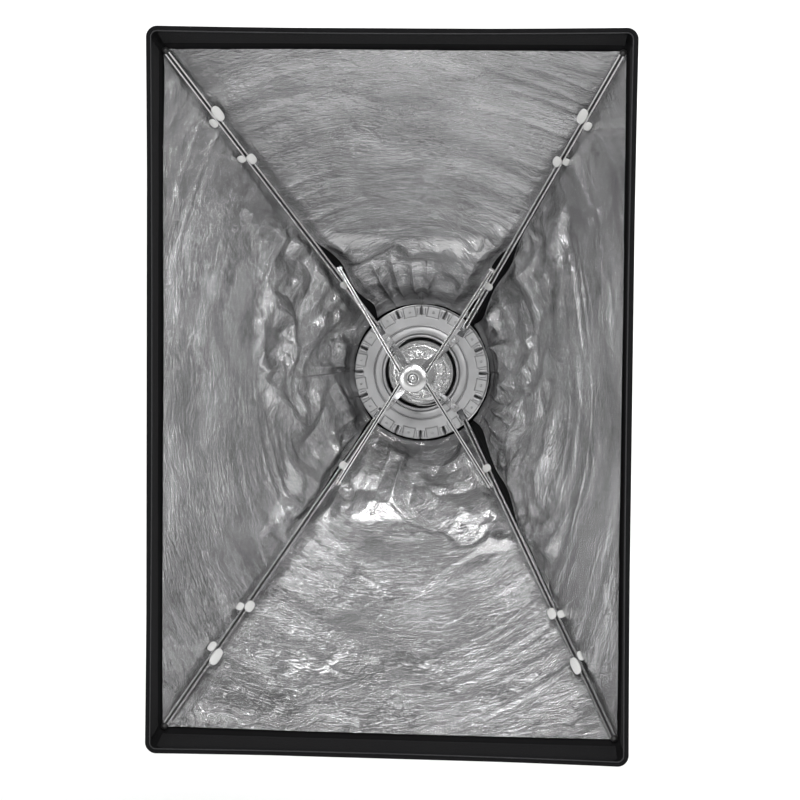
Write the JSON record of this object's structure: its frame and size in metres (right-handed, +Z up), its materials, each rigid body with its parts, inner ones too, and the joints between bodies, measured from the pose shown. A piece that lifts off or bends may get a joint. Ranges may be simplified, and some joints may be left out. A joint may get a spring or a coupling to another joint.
{
  "type": "rectangular quick-open softbox",
  "caption": "Rectangular quick-open softbox: tapered black cloth box with a silver lining on four folding ribs, a slotted speed ring with a centre hub and struts, and a bayonet mount.",
  "frame": {"origin": "on the lamp axis, in the plane where the insert's flange meets the light", "axes": "+Y along the lamp axis towards the light, so the open front faces -Y; +Z up along the long side; +X to the right seen from the open front"},
  "size_m": [0.6016, 0.4495, 0.9016],
  "materials": {
    "cast_alloy": "satin grey casting",
    "bright_alloy": "bright drawn and pressed alloy",
    "steel": "plated steel",
    "black_cloth": "coated black outer cloth",
    "silver_lining": "metallised silver lining cloth, creased",
    "black_tape": "woven black binding and touch tape",
    "white_tape": "white cotton tie tabs",
    "black_plastic": "moulded rib ends"
  },
  "bodies": {
    "root": {"mount_insert": "bright_alloy", "retainer_ring": "steel", "throat_cap": "bright_alloy"},
    "ring": {"ring_casting": "cast_alloy", "throat_band": "cast_alloy", "back_plate": "cast_alloy", "rib_pin_tr": "steel", "rib_pin_tl": "steel", "rib_pin_br": "steel", "rib_pin_bl": "steel", "lock_spider": "bright_alloy", "spider_screw_tr": "steel", "spider_screw_tl": "steel", "spider_screw_br": "steel", "spider_screw_bl": "steel", "lock_socket": "steel", "shell_top": "black_cloth", "shell_bottom": "black_cloth", "shell_left": "black_cloth", "shell_right": "black_cloth", "lining_top": "silver_lining", "lining_bottom": "silver_lining", "lining_left": "silver_lining", "lining_right": "silver_lining", "velcro_top": "black_tape", "velcro_bottom": "black_tape", "velcro_left": "black_tape", "velcro_right": "black_tape", "edge_binding": "black_tape", "collar": "black_cloth"},
    "hub": {"hub_body": "cast_alloy", "hub_disc": "bright_alloy", "hub_pin_tr": "steel", "hub_pin_tl": "steel", "hub_pin_br": "steel", "hub_pin_bl": "steel", "button_spring": "steel"},
    "button": {"hub_button": "bright_alloy"},
    "rib_tr": {"rib_tr": "bright_alloy", "rib_root_tr": "steel", "rib_tip_tr": "black_plastic"},
    "strut_tr": {"strut_tr": "bright_alloy", "strut_rivet_tr": "steel"},
    "rib_tl": {"rib_tl": "bright_alloy", "rib_root_tl": "steel", "rib_tip_tl": "black_plastic"},
    "strut_tl": {"strut_tl": "bright_alloy", "strut_rivet_tl": "steel"},
    "rib_br": {"rib_br": "bright_alloy", "rib_root_br": "steel", "rib_tip_br": "black_plastic"},
    "strut_br": {"strut_br": "bright_alloy", "strut_rivet_br": "steel"},
    "rib_bl": {"rib_bl": "bright_alloy", "rib_root_bl": "steel", "rib_tip_bl": "black_plastic"},
    "strut_bl": {"strut_bl": "bright_alloy", "strut_rivet_bl": "steel"}
  },
  "joints": [
    {"name": "ring_rotate", "type": "hinge", "parent": "root", "child": "ring", "pos_m": [0, 0, 0], "axis": [0, 1, 0], "continuous": true},
    {"name": "hub_slide", "type": "slide", "parent": "ring", "child": "hub", "axis": [0, -1, 0], "range_m": [0, 0.1703], "deforming": ["shell_top", "shell_bottom", "shell_left", "shell_right", "lining_top", "lining_bottom", "lining_left", "lining_right", "velcro_top", "velcro_bottom", "velcro_left", "velcro_right", "edge_binding"]},
    {"name": "button_press", "type": "slide", "parent": "hub", "child": "button", "axis": [0, 1, 0], "range_m": [0, 0.002], "stiffness_N_per_m": 400, "springref_m": -0.002, "deforming": ["button_spring"]},
    {"name": "rib_hinge_tr", "type": "hinge", "parent": "ring", "child": "rib_tr", "pos_m": [0.055, -0.034, 0.055], "axis": [0.8502, 0, -0.5264], "range_deg": [0, 43.01]},
    {"name": "strut_hinge_tr", "type": "hinge", "parent": "hub", "child": "strut_tr", "pos_m": [0.01558, -0.136, 0.00446], "axis": [-0.8502, 0, 0.5264], "range_deg": [0, 55.79]},
    {"name": "rib_hinge_tl", "type": "hinge", "parent": "ring", "child": "rib_tl", "pos_m": [-0.055, -0.034, 0.055], "axis": [0.8502, 0, 0.5264], "range_deg": [0, 43.01]},
    {"name": "strut_hinge_tl", "type": "hinge", "parent": "hub", "child": "strut_tl", "pos_m": [-0.01558, -0.136, 0.00446], "axis": [-0.8502, 0, -0.5264], "range_deg": [0, 55.79]},
    {"name": "rib_hinge_br", "type": "hinge", "parent": "ring", "child": "rib_br", "pos_m": [0.055, -0.034, -0.055], "axis": [-0.8502, 0, -0.5264], "range_deg": [0, 43.01]},
    {"name": "strut_hinge_br", "type": "hinge", "parent": "hub", "child": "strut_br", "pos_m": [0.01558, -0.136, -0.00446], "axis": [0.8502, 0, 0.5264], "range_deg": [0, 55.79]},
    {"name": "rib_hinge_bl", "type": "hinge", "parent": "ring", "child": "rib_bl", "pos_m": [-0.055, -0.034, -0.055], "axis": [-0.8502, 0, 0.5264], "range_deg": [0, 43.01]},
    {"name": "strut_hinge_bl", "type": "hinge", "parent": "hub", "child": "strut_bl", "pos_m": [-0.01558, -0.136, -0.00446], "axis": [0.8502, 0, -0.5264], "range_deg": [0, 55.79]}
  ],
  "couplings": [
    {"joint": "rib_hinge_tr", "follows": "hub_slide", "rad_per_m": 4.4029},
    {"joint": "strut_hinge_tr", "follows": "hub_slide", "rad_per_m": 5.7128},
    {"joint": "rib_hinge_tl", "follows": "hub_slide", "rad_per_m": 4.4029},
    {"joint": "strut_hinge_tl", "follows": "hub_slide", "rad_per_m": 5.7128},
    {"joint": "rib_hinge_br", "follows": "hub_slide", "rad_per_m": 4.4029},
    {"joint": "strut_hinge_br", "follows": "hub_slide", "rad_per_m": 5.7128},
    {"joint": "rib_hinge_bl", "follows": "hub_slide", "rad_per_m": 4.4029},
    {"joint": "strut_hinge_bl", "follows": "hub_slide", "rad_per_m": 5.7128}
  ]
}
